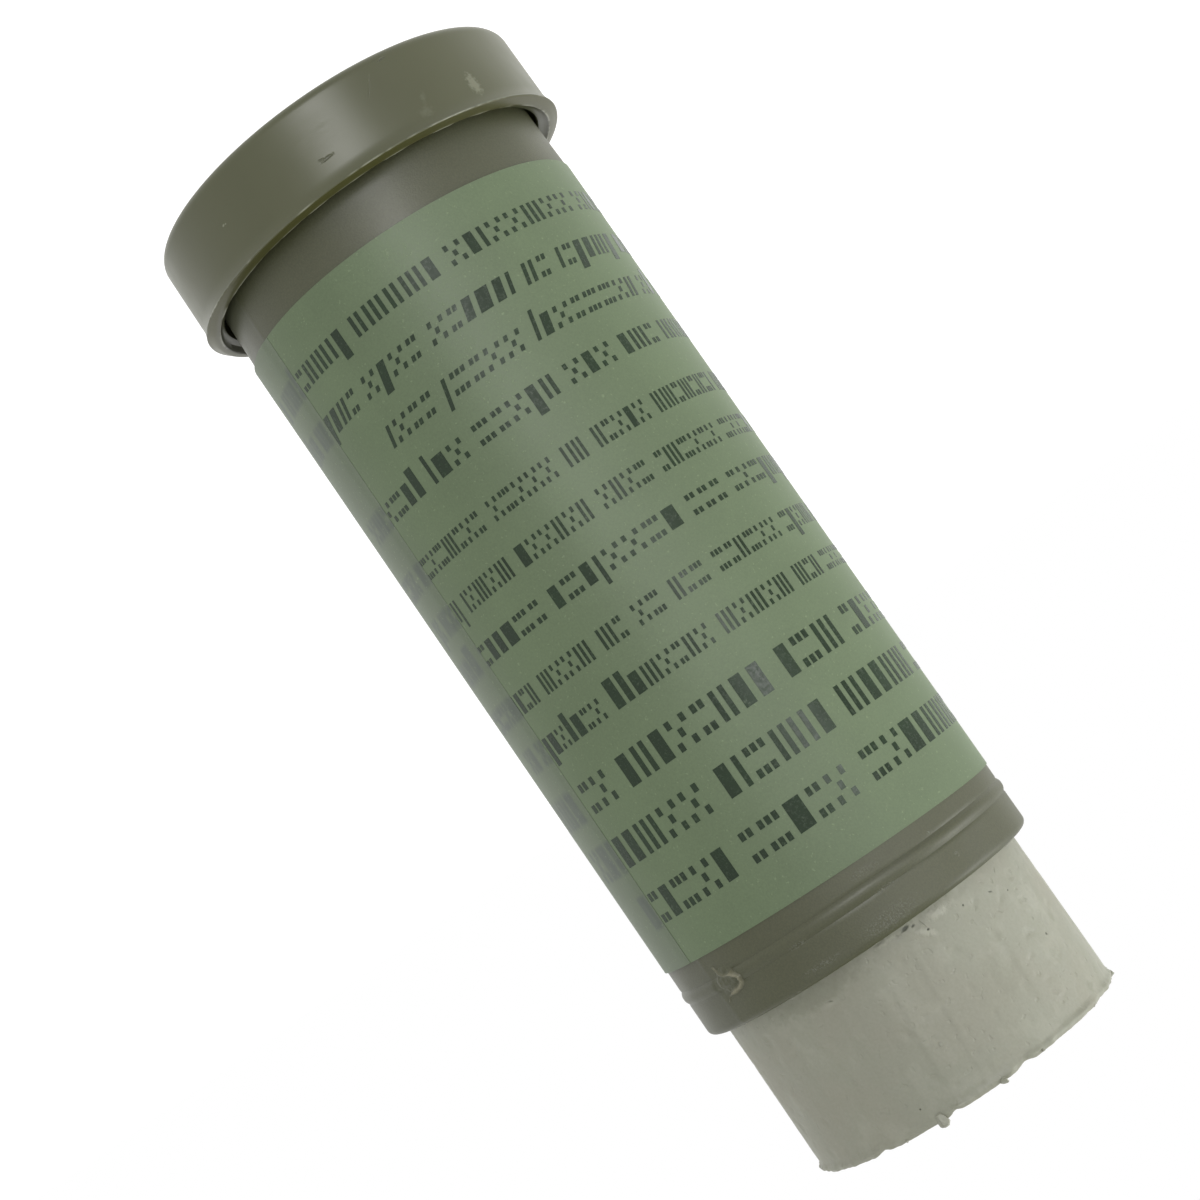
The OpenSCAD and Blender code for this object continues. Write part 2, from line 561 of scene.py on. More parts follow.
@dataclass(frozen=True)
class CapPlastic:
    """Satin moulded plastic of the cap, with fine scratches round the skirt and a few scuffs."""

    colour: Colour = (0.083, 0.088, 0.036)
    dusty: Colour = (0.30, 0.31, 0.22)
    # pale torn flash at the lip's inner crest, and a painted highlight along its outer edge
    flash_and_glint: Colour = (0.33, 0.34, 0.25)
    # painted shade: darker, yellower colour of the lip's upward face
    lip_face_shade: Colour = (0.072, 0.072, 0.018)
    roughness: float = 0.34
    rim_height: float = 6.15
    scuffs: tuple[Spot, ...] = (
        Spot(-135.4, 4.55, 0.55, 1.0, 13.93, 0.55, core=0.35),
        Spot(-135.4, 4.95, 0.40, 0.6, 13.93, 0.35, core=0.2),
        Spot(-54.0, 3.16, 0.22, 0.10, 13.92, 0.8, core=0.1),
        Spot(-54.9, 3.20, 0.10, 0.08, 13.92, 1.0, core=0.1),
        Spot(-117.0, 5.1, 0.7, 0.5, 13.95, 0.16, core=0.0),
        Spot(-118.5, 4.2, 0.25, 0.6, 13.95, 0.14, core=0.0, lean=20),
    )
    # dents and scratches: sunk in relief, with painted shade in them
    dents_and_shade: tuple[Spot, ...] = (
        Spot(-88.6, 4.36, 0.65, 0.13, 13.94, 1.0, core=0.1, lean=-6),
        Spot(-87.0, 4.22, 0.30, 0.08, 13.94, 0.7, core=0.1, lean=12),
        Spot(-114.9, 0.71, 0.45, 0.12, 13.85, 0.9, core=0.1, lean=-14),
        Spot(-108.0, 1.9, 0.08, 0.9, 13.90, 0.35, core=0.1, lean=35),
    )

    brushed: Spot = Spot(-88.0, 2.6, 3.4, 2.8, 13.9, core=0.1, reach=4.0)

    def material(self) -> bpy.types.Material:
        """Build the material.

        Returns:
            The material.
        """
        r = Recipe("cap_plastic")
        swirl = r.noise(6.0, detail=3)
        scratch = r.noise(0.9, stretch=(0.35, 0.35, 9.0), detail=3, roughness=0.65)
        fine = r.noise(0.16, detail=2)
        ragged = r.math("MULTIPLY", r.math("SUBTRACT", r.noise(0.22, detail=3), 0.5), 1.3)
        scuff = r.marks(self.scuffs, ragged)
        dent_and_shade = r.marks(self.dents_and_shade, ragged)
        flash_and_glint = r.attribute("flash_and_glint")
        rim = r.band(r.height(), self.rim_height, self.rim_height + 0.05)
        colour = r.blend(r.band(swirl, 0.3, 0.7, 0.0, 0.10), self.colour, (0.12, 0.125, 0.07))
        # The lip's upward face takes a darker, yellower colour: painted shade.
        colour = r.blend(rim, colour, self.lip_face_shade)
        brushed = r.times(r.math("SUBTRACT", scratch, 0.5), r.mark(self.brushed))
        colour = r.blend(scuff, colour, self.dusty)
        # Dents and scratches are darkened: painted shade in them.
        colour = r.blend(r.times(dent_and_shade, 0.45), colour, (0.03, 0.032, 0.015))
        # Pale torn flash at the lip's inner crest, and a painted highlight along its outer edge.
        colour = r.blend(flash_and_glint, colour, self.flash_and_glint)
        rough = r.total(
            self.roughness,
            r.times(brushed, 0.35),
            r.band(swirl, 0.35, 0.65, -0.03, 0.04),
            r.times(scuff, 0.2),
        )
        r.bump(brushed, 0.016, 0.8)
        r.bump(fine, 0.003, 0.8)
        r.bump(r.noise(3.2, detail=1, shift=4.0), 0.03, 0.5)
        r.bump(r.math("SUBTRACT", 1.0, dent_and_shade), 0.05)
        return r.done(colour, rough, IOR=1.5)


@dataclass(frozen=True)
class TubePlastic:
    """Matt moulded plastic of the tube, with a fine grain and pale marks: real wear, and painted glints of
    the grain in the glare.
    """

    colour: Colour = (0.073, 0.077, 0.034)
    greyer: Colour = (0.090, 0.095, 0.060)
    fleck_and_glint: Colour = (0.40, 0.41, 0.34)
    torn: Colour = (0.25, 0.24, 0.155)
    roughness: float = 0.45
    # places of wear, where pale marks also stand in for painted glints of the grain in the glare
    rubbed_and_glints: tuple[Spot, ...] = (
        Spot(-73.5, 62.85, 1.9, 0.35, 12.58, 0.9, core=0.2),
        Spot(-71.0, 61.0, 0.9, 0.22, 12.7, 1.0, core=0.2),
        Spot(-60.8, 63.5, 0.9, 0.14, 12.5, 0.9, core=0.2),
        Spot(-97.0, 62.7, 2.6, 0.9, 12.58, 0.7, core=0.1),
        Spot(-101.0, 61.05, 1.2, 0.25, 12.7, 0.9, core=0.2),
        Spot(-99.0, 59.5, 1.8, 0.4, 12.58, 0.5, core=0.1),
        Spot(-124.5, 62.0, 0.2, 0.25, 12.58, 1.3, core=0.2),
        Spot(-120.5, 59.9, 0.2, 0.15, 12.58, 1.1, core=0.2),
    )

    def material(self) -> bpy.types.Material:
        """Build the material.

        Returns:
            The material.
        """
        r = Recipe("tube_plastic")
        cloud = r.noise(5.0, detail=3)
        grain = r.noise(0.12, detail=2, roughness=0.6)
        speck = r.noise(0.13, detail=2, roughness=0.7, shift=7.0)
        drag = r.noise(1.6, stretch=(1.0, 1.0, 6.0), detail=3, shift=2.0)
        rubbed_and_glints = r.marks(self.rubbed_and_glints, r.times(r.math("SUBTRACT", cloud, 0.5), 0.8))
        sparse = r.band(speck, 0.70, 0.78, 0.0, 0.35)
        flecks_and_glints = r.total(r.times(rubbed_and_glints, r.band(speck, 0.46, 0.66)), sparse)
        left = r.attribute("left")
        colour = r.blend(r.band(cloud, 0.3, 0.7, 0.0, 0.3), self.colour, self.greyer)
        colour = r.blend(r.times(left, 0.55), colour, self.greyer)
        colour = r.tinted(colour, r.band(grain, 0.25, 0.75, 0.88, 1.12))
        # Pale marks: wear, and painted glints of the grain in the glare.
        colour = r.blend(r.times(flecks_and_glints, 0.34), colour, self.fleck_and_glint)
        colour = r.blend(r.attribute("torn"), colour, self.torn)
        rough = r.total(
            r.band(cloud, 0.3, 0.7, self.roughness - 0.04, self.roughness + 0.05),
            r.times(flecks_and_glints, 0.1),
        )
        r.bump(grain, 0.012, 0.8)
        r.bump(drag, 0.012, 0.5)
        r.bump(flecks_and_glints, 0.02)
        return r.done(colour, rough, IOR=1.5)


@dataclass(frozen=True)
class PrintedFilm:
    """Satin film of the label: flat green ink with pale specks, and a paler band at the lap."""

    colour: Colour = (0.170, 0.228, 0.126)
    lap: Colour = (0.186, 0.222, 0.156)
    speck: Colour = (0.27, 0.35, 0.20)
    ghost: Colour = (0.105, 0.122, 0.112)
    roughness: float = 0.5

    def material(self) -> bpy.types.Material:
        """Build the material.

        Returns:
            The material.
        """
        r = Recipe("label_film")
        cloud = r.noise(7.0, detail=3)
        grain = r.noise(0.14, detail=2, roughness=0.6)
        speck = r.noise(0.20, detail=1, shift=3.0)
        swell = r.noise(2.2, detail=2, shift=9.0)
        lap = r.attribute("lap")
        ghost = r.attribute("ghost")
        colour = r.blend(r.times(lap, 0.75), self.colour, self.lap)
        colour = r.tinted(colour, r.band(cloud, 0.3, 0.7, 0.95, 1.05))
        colour = r.blend(r.times(ghost, 0.85), colour, self.ghost)
        colour = r.tinted(colour, r.band(grain, 0.25, 0.75, 0.93, 1.07))
        colour = r.blend(r.band(speck, 0.66, 0.78, 0.0, 0.6), colour, self.speck)
        rough = r.band(grain, 0.3, 0.7, self.roughness - 0.05, self.roughness + 0.05)
        r.bump(grain, 0.007, 0.8)
        r.bump(swell, 0.02, 0.6)
        r.bump(r.band(speck, 0.62, 0.8), 0.01)
        return r.done(colour, rough, IOR=1.5, Specular_IOR_Level=0.35)


@dataclass(frozen=True)
class PrintInk:
    """Glossier dark green ink of the print."""

    colour: Colour = (0.016, 0.036, 0.013)
    worn: Colour = (0.075, 0.11, 0.06)
    roughness: float = 0.22

    def material(self) -> bpy.types.Material:
        """Build the material.

        Returns:
            The material.
        """
        r = Recipe("print_ink")
        worn = r.noise(0.25, detail=3, roughness=0.7)
        cloud = r.noise(3.0, detail=2)
        colour = r.blend(r.band(worn, 0.60, 0.74, 0.0, 0.8), self.colour, self.worn)
        colour = r.tinted(colour, r.band(cloud, 0.3, 0.7, 0.85, 1.15))
        rough = r.band(worn, 0.3, 0.7, self.roughness - 0.05, self.roughness + 0.1)
        r.bump(worn, 0.012, 0.6)
        return r.done(colour, rough, IOR=1.5, Specular_IOR_Level=0.3)


@dataclass(frozen=True)
class WaxPaint:
    """Pale waxy paint, with clouds, streaks of the push, grey spots, a painted shadow along the mouth, pits
    and specks of debris.
    """

    colour: Colour = (0.366, 0.373, 0.292)
    warm: Colour = (0.373, 0.371, 0.292)
    shade: Colour = (0.270, 0.280, 0.205)
    pale: Colour = (0.470, 0.475, 0.385)
    debris: Colour = (0.10, 0.11, 0.08)
    roughness: float = 0.52
    dull_and_shadow: tuple[Spot, ...] = (
        # The wide first spot along the mouth is a painted shadow of the tube's mouth; the rest are darker
        # grey spots.
        Spot(-62.0, 64.4, 5.2, 0.95, 11.33, 0.55, core=0.3),
        Spot(-146.4, 73.9, 0.6, 0.5, 11.33, 0.55, core=0.2),
        Spot(-152.0, 69.1, 0.5, 0.5, 11.33, 0.4, core=0.2),
        Spot(-140.3, 70.8, 0.7, 0.5, 11.33, 0.35, core=0.2),
        Spot(-88.0, 74.3, 1.6, 0.4, 11.40, 0.35, core=0.2),
        Spot(-110.0, 74.4, 1.2, 0.35, 11.40, 0.35, core=0.2),
        Spot(-118.0, 69.8, 1.8, 2.4, 11.33, 0.3, core=0.0),
    )
    smears: tuple[Spot, ...] = (
        Spot(-110.5, 64.25, 1.3, 0.5, 11.33, 0.85, core=0.2),
        Spot(-104.5, 64.9, 1.0, 0.35, 11.33, 0.7, core=0.2, lean=35),
        Spot(-91.0, 63.9, 1.0, 0.25, 11.33, 0.6, core=0.2),
        Spot(-66.0, 65.2, 0.9, 0.3, 11.33, 0.35, core=0.1),
        Spot(-147.0, 67.3, 1.6, 2.2, 11.33, 0.45, core=0.1),
        Spot(-88.1, 70.9, 0.12, 0.16, 11.33, 1.0, core=0.2),
    )
    specks: tuple[Spot, ...] = (
        Spot(-99.3, 63.9, 0.42, 0.16, 11.33, 1.0, core=0.2, lean=-8),
        Spot(-102.0, 64.05, 0.2, 0.1, 11.33, 0.9, core=0.2),
        Spot(-105.4, 64.77, 0.12, 0.09, 11.33, 1.0, core=0.2),
        Spot(-105.0, 64.3, 0.06, 0.4, 11.33, 0.5, core=0.1, lean=-15),
        Spot(-71.1, 73.58, 0.08, 0.08, 11.36, 1.0, core=0.2),
        Spot(-119.8, 64.87, 0.10, 0.10, 11.33, 1.0, core=0.2),
        Spot(-131.9, 65.26, 0.22, 0.07, 11.33, 0.8, core=0.2, lean=25),
        Spot(-139.1, 65.9, 0.12, 0.1, 11.33, 0.8, core=0.2),
        Spot(-142.9, 69.56, 0.14, 0.12, 11.33, 0.8, core=0.2),
        Spot(-66.9, 65.1, 0.25, 0.08, 11.33, 0.6, core=0.2, lean=20),
    )

    def material(self) -> bpy.types.Material:
        """Build the material.

        Returns:
            The material.
        """
        r = Recipe("wax_paint")
        cloud = r.noise(4.5, detail=4, roughness=0.55)
        patch = r.noise(1.8, stretch=(1.0, 1.0, 0.7), detail=3, shift=5.0)
        streak = r.noise(1.1, stretch=(1.0, 1.0, 0.10), detail=3, shift=11.0)
        grain = r.noise(0.20, detail=3, roughness=0.6)
        pit = r.noise(0.55, detail=1, shift=1.5)
        ragged = r.times(r.math("SUBTRACT", r.noise(0.5, detail=3, shift=8.0), 0.5), 1.4)
        dull_and_shadow = r.marks(self.dull_and_shadow, ragged)
        smear = r.marks(self.smears, ragged)
        speck = r.marks(self.specks, r.times(ragged, 0.5))
        colour = r.blend(r.band(cloud, 0.35, 0.68), self.colour, self.warm)
        colour = r.blend(r.band(patch, 0.52, 0.66, 0.0, 0.28), colour, self.pale)
        colour = r.blend(r.band(streak, 0.52, 0.68, 0.0, 0.10), colour, self.shade)
        # Darker where the spots are: grey spots, and a painted shadow along the mouth.
        colour = r.blend(dull_and_shadow, colour, self.shade)
        colour = r.blend(smear, colour, self.pale)
        colour = r.tinted(colour, r.band(grain, 0.25, 0.75, 0.965, 1.035))
        colour = r.blend(speck, colour, self.debris)
        rough = r.total(
            r.band(cloud, 0.3, 0.7, self.roughness - 0.05, self.roughness + 0.06),
            r.times(smear, -0.08),
        )
        r.bump(grain, 0.012, 0.6)
        r.bump(streak, 0.03, 0.3)
        r.bump(patch, 0.06, 0.35)
        r.bump(r.band(pit, 0.24, 0.36), 0.04, 0.7)
        r.bump(r.math("SUBTRACT", smear, speck), 0.06)
        r.shader.inputs["Subsurface Radius"].default_value = (0.9, 1.0, 0.7)
        return r.done(colour, rough, IOR=1.46, Subsurface_Weight=0.12, Subsurface_Scale=0.0006)


# Pieces


@dataclass
class PushOnCap:
    """Push-on cap: a flat end wall and a short skirt with a rounded lip and a torn moulding edge."""

    finish: CapPlastic
    height: float = 6.2
    floor: float = 1.2
    bore: float = 12.88
    skirt: float = 14.07
    end: float = 14.0
    rounding: float = 0.7
    lip: float = 14.31
    flare: float = 0.62
    crest: float = 13.45
    crest_height: float = 0.12
    bulges: tuple[tuple[float, float, float], ...] = ((12.0, 0.36, 42.0), (175.0, 0.08, 40.0))
    warp: float = 0.010
    steps: int = 288

    def corners(self) -> list[Corner]:
        """Half section from the middle of the outer face, over the lip, to the middle of the floor.

        Returns:
            The corners, in order.
        """
        top = self.height
        crest = self.crest
        return [
            Corner(0.0, 0.0, step=1.5),
            Corner(self.end, 0.0, self.rounding),
            Corner(self.end + 0.01, 0.9, step=0.3),
            Corner(self.skirt, top - self.flare - 0.1, 0.3, step=0.1),
            Corner(self.lip - 0.05, top - 0.16, step=0.04),
            Corner(self.lip, top - 0.07, step=0.03),
            Corner(self.lip - 0.03, top - 0.02, step=0.03),
            Corner(self.lip - 0.10, top + 0.01, step=0.1),
            Corner(crest + 0.12, top + self.crest_height - 0.01, step=0.04),
            Corner(crest, top + self.crest_height, step=0.04),
            Corner(crest - 0.08, top + self.crest_height - 0.06, step=0.2),
            Corner(self.bore - 0.09, top - 0.2, 0.06),
            Corner(self.bore - 0.09, top - 0.45, step=0.1),
            Corner(self.bore, top - 0.65, step=0.5),
            Corner(self.bore, self.floor, 0.2),
            Corner(0.0, self.floor, step=1.5),
        ]

    def shape(self, bm: bmesh.types.BMesh) -> None:
        """Warp the skirt a little, fray the two edges of the lip and note where they are pale: torn flash at
        the inner crest, and a painted highlight along the outer edge.

        Args:
            bm: The cap's mesh.
        """
        layer = bm.verts.layers.float.new("flash_and_glint")
        top = self.height
        for v in bm.verts:
            radius = math.hypot(v.co.x, v.co.y)
            if radius < self.bore - 0.5:
                continue
            angle = math.degrees(math.atan2(v.co.y, v.co.x))
            ring = on_axis(10.0, angle, 0.0)
            inner = clamp(0.35 + 2.2 * waves(ring, 1.5, 3.0) + 1.2 * waves(ring, 0.3, 5.0))
            outer = clamp(0.05 + 2.0 * waves(ring, 1.9, 9.0) + 1.2 * waves(ring, 0.35, 2.0))
            if v.co.z > top - 0.2:
                at_crest = hump(radius - self.crest - 0.02, 0.07) * (v.co.z > top + 0.03)
                # A pale broken line along the lip's outer edge: a painted highlight.
                at_edge = hump(radius - self.lip, 0.04) * hump(v.co.z - top + 0.06, 0.06)
                v[layer] = max(inner * at_crest, outer * at_edge)
                v.co.z += 0.03 * at_crest * (inner - 0.5) + 0.015 * at_edge * waves(ring, 0.5, 4.0)
            if v.co.z > top:
                bulge = sum(rise * hump(turn_between(angle, a), width) for a, rise, width in self.bulges)
                v.co.z += bulge * smooth(top, top + 0.08, v.co.z)
            push = on_axis(self.warp * waves(v.co, 5.0, 1.0), angle, 0.0)
            v.co.x += push.x
            v.co.y += push.y

    def build(self) -> bpy.types.Object:
        """Build the cap's piece."""
        bm = turned(self.corners(), self.steps)
        self.shape(bm)
        return fitted(finished(bm, "push_on_cap"), "cap", self.finish.material(), "cap")


@dataclass
class MouldedTube:
    """Open tube with a low bead near each end, a parting line and a torn burr on the bead at the mouth."""

    finish: TubePlastic
    bore: float = 11.45
    barrel: float = 12.62
    neck: float = 12.48
    bead: float = 12.75
    foot_height: float = 1.2
    mouth_height: float = 63.6
    bead_width: float = 0.95
    near_bead: float = 3.75
    far_bead: float = 60.1
    barrel_start: float = 9.558
    label_start: float = 10.3
    label_end: float = 58.2
    rounding: float = 0.45
    parting_angles: tuple[float, ...] = (-38.0, 142.0)
    parting_lean: float = 0.09
    parting_height: float = 0.035
    parting_width: float = 0.13
    warp: float = 0.008
    steps: int = 360
    burr_angles: tuple[float, float] = (-52.0, -37.0)
    burr_heights: tuple[float, float] = (59.1, 62.05)
    burr_rim: tuple[tuple[float, float], ...] = (
        (-41.4, 59.45), (-42.6, 59.95), (-44.6, 60.22), (-47.6, 60.28),
        (-49.3, 60.70), (-48.6, 61.10), (-47.0, 61.32), (-43.3, 61.46),
    )
    burr_tail: tuple[tuple[float, float], ...] = ((-43.3, 61.46), (-41.0, 61.52), (-39.3, 61.85))
    burr_grid: float = 0.035
    burr_shell: float = 0.15
    burr_top: float = 0.28
    pit_angle: float = -38.7
    pit_height: float = 60.7
    pit_depth: float = 0.22
    pit_size: tuple[float, float] = (0.22, 0.42)

    def bead_corners(self, start: float, below: float, above: float) -> list[Corner]:
        """Corners of a rounded bead, with a thin groove at each edge.

        Args:
            start: Height of the bead's lower edge.
            below: Radius of the wall below the bead.
            above: Radius of the wall above it.

        Returns:
            The corners, from below upwards.
        """
        end = start + self.bead_width
        return [
            Corner(below, start - 0.13, step=0.1),
            Corner(below - 0.03, start, step=0.1),
            Corner(self.bead, start + 0.27, 0.14),
            Corner(self.bead, end - 0.27, 0.14),
            Corner(above - 0.03, end, step=0.1),
            Corner(above, end + 0.13, step=0.16),
        ]

    def corners(self) -> list[Corner]:
        """Half section of the whole ring, from the bore's foot up the outside and back down the bore.

        Returns:
            The corners, in order.
        """
        return [
            Corner(self.bore, self.foot_height, step=0.4),
            Corner(self.neck, self.foot_height, self.rounding),
            Corner(self.neck, self.foot_height + 0.6, step=0.3),
            *self.bead_corners(self.near_bead, self.neck, self.neck),
            Corner(self.neck, self.barrel_start - 3.2, 0.6),
            Corner(self.barrel - 0.02, self.barrel_start + 0.3, step=0.3),
            Corner(self.barrel, self.label_start, step=1.5),
            Corner(self.barrel, self.label_end, step=0.16),
            *self.bead_corners(self.far_bead, self.barrel, self.barrel),
            Corner(self.barrel, self.mouth_height - 0.6, step=0.2),
            Corner(self.barrel, self.mouth_height, self.rounding),
            Corner(self.bore, self.mouth_height, 0.1),
            Corner(self.bore, self.mouth_height - 0.3, step=1.5),
        ]

    def shape(self, bm: bmesh.types.BMesh) -> None:
        """Raise the parting lines, sink the pit, warp the walls a little and note the greyer side.

        Args:
            bm: The tube's mesh.
        """
        left = bm.verts.layers.float.new("left")
        for v in bm.verts:
            radius = math.hypot(v.co.x, v.co.y)
            if radius < self.bore + 0.6 or self.label_start < v.co.z < self.label_end:
                continue
            angle = math.degrees(math.atan2(v.co.y, v.co.x))
            move = self.warp * waves(v.co, 3.0, 4.0)
            lean = self.parting_lean * (self.far_bead - v.co.z)
            v[left] = smooth(-0.5, 1.0, turn_between(angle, self.parting_angles[0] + lean))
            v[left] *= smooth(180.0, 150.0, turn_between(angle, self.parting_angles[0]))
            for line in self.parting_angles:
                wander = 0.25 * waves(Vector((0.0, 0.0, v.co.z)), 2.5, line)
                away = math.radians(turn_between(angle, line + lean + wander)) * radius
                broken = clamp(0.75 + 0.9 * waves(v.co, 1.2, 6.0))
                move += self.parting_height * hump(away, self.parting_width) * broken
            off = math.radians(turn_between(angle, self.pit_angle)) * radius
            across, along = self.pit_size
            move -= self.pit_depth * hump(off, across) * hump(v.co.z - self.pit_height, along)
            push = on_axis(move, angle, 0.0)
            v.co.x += push.x
            v.co.y += push.y

    def wall(self, height: float) -> float:
        """Radius of the outside near the bead at the mouth.

        Args:
            height: Height up the axis.

        Returns:
            The radius.
        """
        middle = self.far_bead + self.bead_width / 2
        rise = smooth(self.bead_width / 2, self.bead_width / 2 - 0.3, abs(height - middle))
        return self.barrel + (self.bead - self.barrel) * rise

    def add_burr(self, bm: bmesh.types.BMesh) -> None:
        """Add the torn burr: a curled flap of plastic with a raised pale rim, open towards the parting line.

        Args:
            bm: The tube's mesh, which takes the burr as a closed shell sunk into the bead.
        """
        layer = bm.verts.layers.float.get("torn") or bm.verts.layers.float.new("torn")
        per_degree = math.radians(1.0) * self.bead
        low_a, high_a = self.burr_angles
        low_z, high_z = self.burr_heights
        width = (high_a - low_a) * per_degree
        tall = high_z - low_z
        grid = bmesh.ops.create_grid(
            bm, x_segments=round(width / self.burr_grid), y_segments=round(tall / self.burr_grid), size=0.5
        )["verts"]
        rim = [((a - low_a) * per_degree, z - low_z) for a, z in self.burr_rim]
        tail = [((a - low_a) * per_degree, z - low_z) for a, z in self.burr_tail]
        middle = Vector((sum(x for x, _ in rim) / len(rim) + 0.3, sum(y for _, y in rim) / len(rim), 0.0))
        for v in grid:
            flat = Vector(((v.co.x + 0.5) * width, (v.co.y + 0.5) * tall, 0.0))
            wobble = 0.04 * waves(flat, 0.35, 2.0)
            to_rim = distance_to_path(flat, rim) + wobble
            to_tail = distance_to_path(flat, tail) + wobble
            body = smooth(1.05, 0.65, (flat - middle).length + wobble)
            angle = low_a + flat.x / per_degree
            z = low_z + flat.y
            thick = 0.3 + 0.7 * max(smooth(-45.5, -48.0, angle), smooth(60.8, 61.2, z))
            height = (0.05 + 0.19 * thick) * hump(to_rim, 0.075 + 0.05 * thick) + 0.07 * hump(to_tail, 0.06)
            height += (0.12 + 0.05 * waves(flat, 0.3, 5.0)) * body
            height += 0.02 * waves(flat, 0.12, 8.0) * smooth(0.02, 0.10, height)
            edge = min(flat.x, width - flat.x, flat.y, tall - flat.y)
            sunk = 0.06 * smooth(0.04, 0.0, height) + 0.05 * smooth(0.15, 0.0, edge)
            v.co = on_axis(self.wall(z) - 0.02 + min(height, self.burr_top) - sunk, angle, z)
            pale = (0.25 + 0.95 * thick) * hump(to_rim, 0.085 + 0.05 * thick) + 0.35 * hump(to_tail, 0.05)
            v[layer] = clamp(pale)
        faces = list({f for v in grid for f in v.link_faces})
        bmesh.ops.recalc_face_normals(bm, faces=faces)
        face_out(bm, faces)
        bmesh.ops.solidify(bm, geom=faces, thickness=self.burr_shell)

    def build(self) -> bpy.types.Object:
        """Build the tube's piece, with its burr.

        Returns:
            The piece.
        """
        bm = turned(self.corners(), self.steps, closed=True)
        bm.verts.layers.float.new("torn")
        self.shape(bm)
        self.add_burr(bm)
        return fitted(finished(bm, "moulded_tube"), "barrel", self.finish.material(), "tube")


@dataclass(frozen=True)
class Sheet:
    """The label as a flat sheet, and where each of its points lies once it is wrapped.

    `along` is the distance round the tube from the sheet's outer end, towards larger angles.
    """

    barrel: float = 12.62
    thickness: float = 0.08
    start_height: float = 9.87
    end_height: float = 58.7
    start_tilt: float = 1.4
    end_tilt: float = 1.2
    seam_angle: float = -35.0
    seam_slant: float = 0.5
    lap: float = 7.0
    ramp: float = 2.5

    @property
    def middle(self) -> float:
        """Radius of the middle of the film."""
        return self.barrel + self.thickness / 2

    @property
    def length(self) -> float:
        """Length of the sheet round the tube, with its lap."""
        return FULL_TURN * self.middle + self.lap - 0.2

    def angle(self, along: float) -> float:
        """Angle round the axis at a distance along the sheet, in degrees."""
        return self.seam_angle + math.degrees(along / self.middle)

    def along(self, angle: float) -> float:
        """Distance along the sheet's inner turn at an angle from the back round to the seam."""
        return math.radians((angle - self.seam_angle) % 360) * self.middle

    def lift(self, along: float) -> float:
        """How far the sheet is raised off the barrel where it laps over its own start."""
        raised = smooth(self.lap + self.ramp, self.lap - 0.3, along)
        return (self.thickness + 0.002) * raised * (0.2 + 0.8 * smooth(0.0, 0.9, along))

    def edge(self, height: float) -> float:
        """How far the slanted outer end is moved along at a height."""
        return (height - (self.start_height + self.end_height) / 2) * math.tan(math.radians(self.seam_slant))

    def place(self, along: float, height: float, proud: float) -> Vector:
        """Point on the wrapped sheet.

        Args:
            along: Distance along the sheet.
            height: Height up the axis.
            proud: Distance out from the sheet's inner face.

        Returns:
            The point, in millimetres.
        """
        return on_axis(self.barrel + self.lift(along) + proud, self.angle(along), height)


class Filling(Enum):
    """How one block of print is filled."""

    SOLID = "solid"
    UPRIGHT = "upright"
    CHEQUER = "chequer"
    SQUARES = "squares"


@dataclass(frozen=True)
class Bar:
    """One printed bar on the flat sheet: its middle, its size and its lean in degrees."""

    along: float
    height: float
    width: float
    tall: float
    lean: float = 0.0


@dataclass(frozen=True)
class PrintRow:
    """One row of print: its base line, the height of its blocks, its stroke, lean and end."""

    base: float
    tall: float
    stroke: float
    lean: float = 0.0
    last_angle: float = -11.0
    light: bool = False


